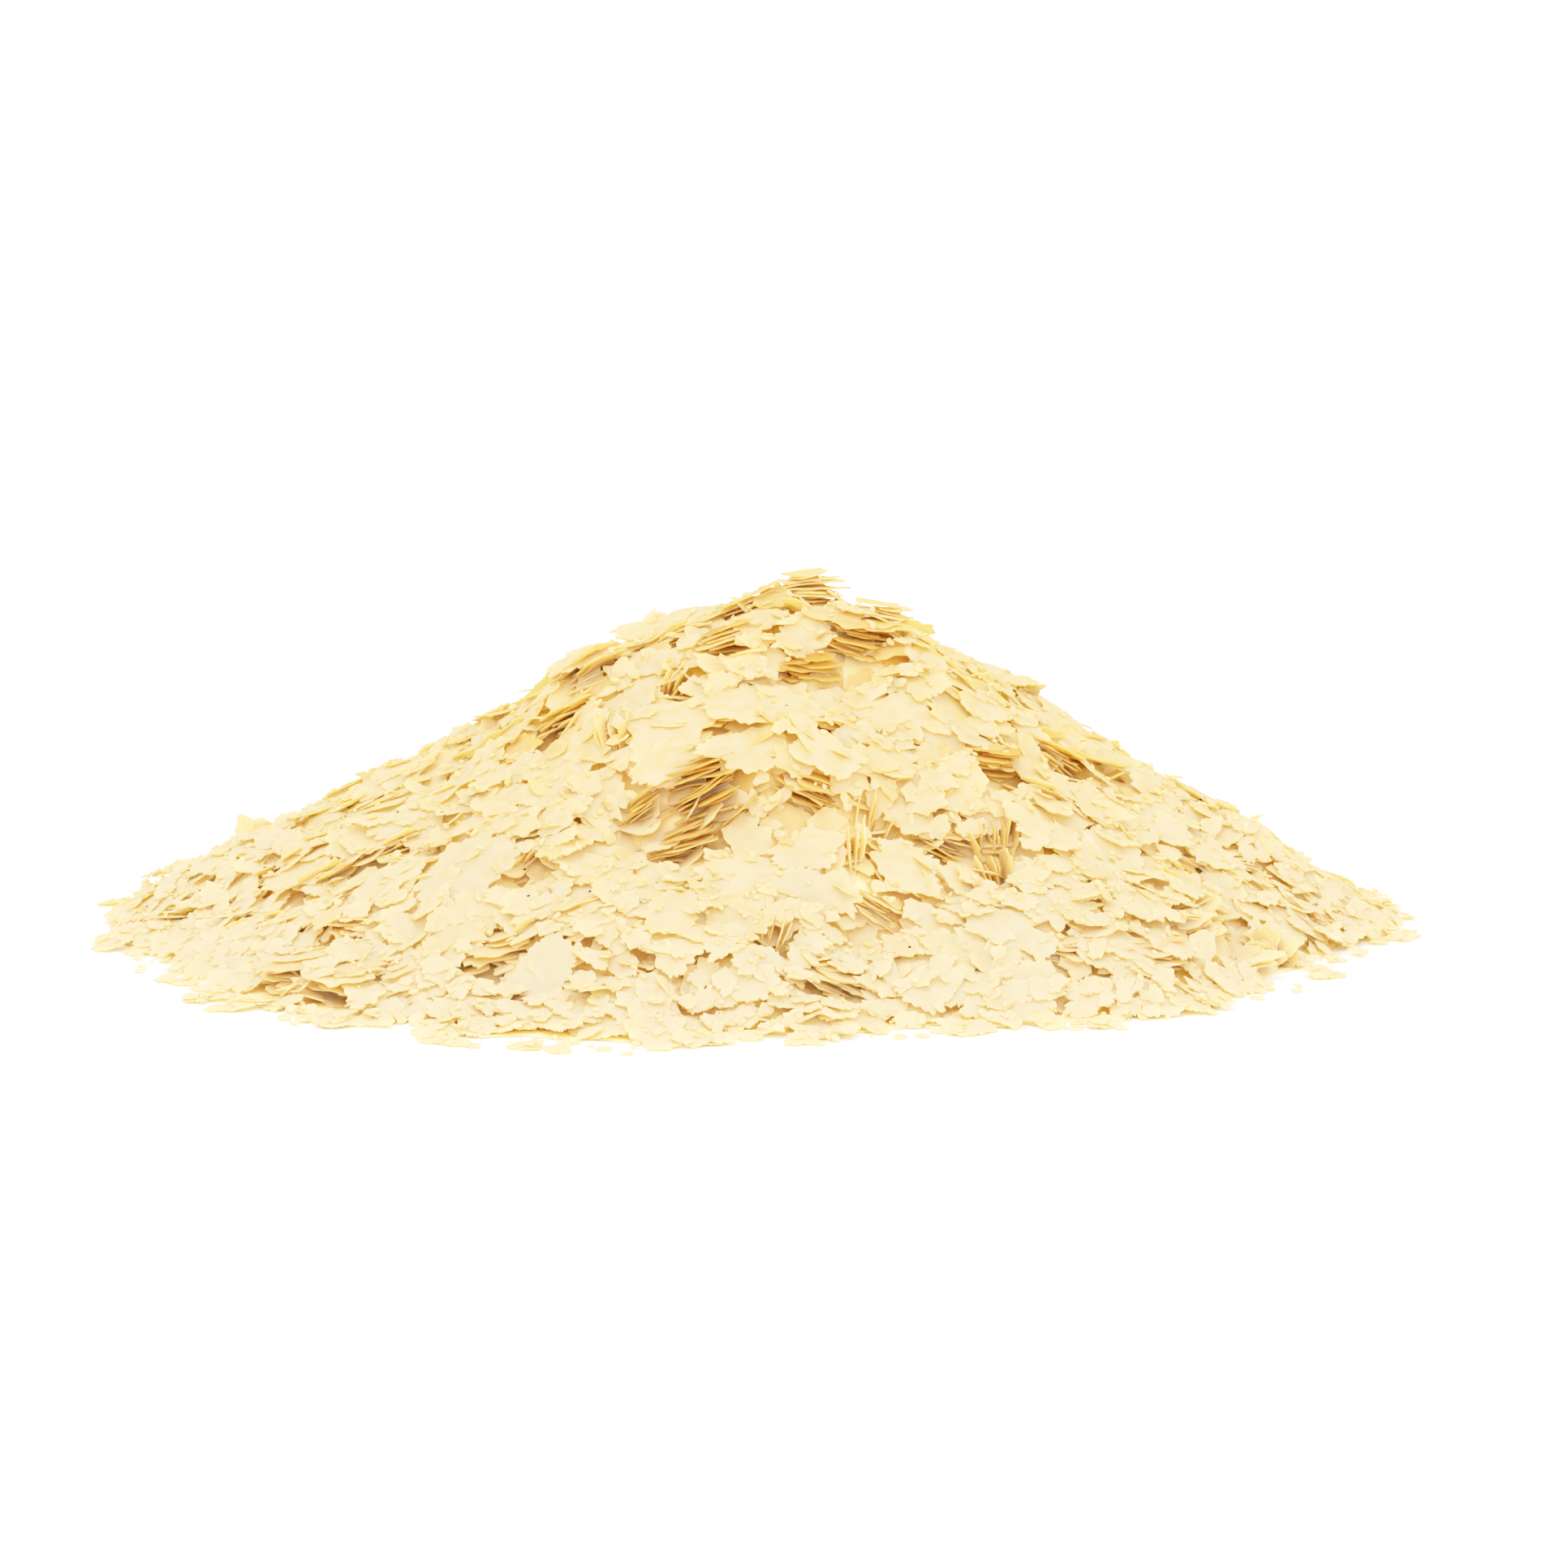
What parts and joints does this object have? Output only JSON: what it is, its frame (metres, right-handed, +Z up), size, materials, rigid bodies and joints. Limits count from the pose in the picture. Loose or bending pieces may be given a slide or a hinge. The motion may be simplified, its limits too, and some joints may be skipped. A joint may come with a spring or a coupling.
{
  "type": "heap of potato flakes",
  "caption": "Cone-shaped heap of dried potato flakes: thin, pale yellow, brittle flakes poured loose, with an uneven slope and a ragged foot that rests flat on a table.",
  "frame": {"origin": "middle of the flat underside, where the heap rests on the table", "axes": "+Z up from the table, +X to the right and -Y towards the viewer of the front"},
  "size_m": [0.1169, 0.1137, 0.0299],
  "materials": {
    "potato_flake": "matt, slightly translucent dried potato sheet"
  },
  "bodies": {
    "root": {"potato_flakes": "potato_flake"}
  },
  "joints": []
}
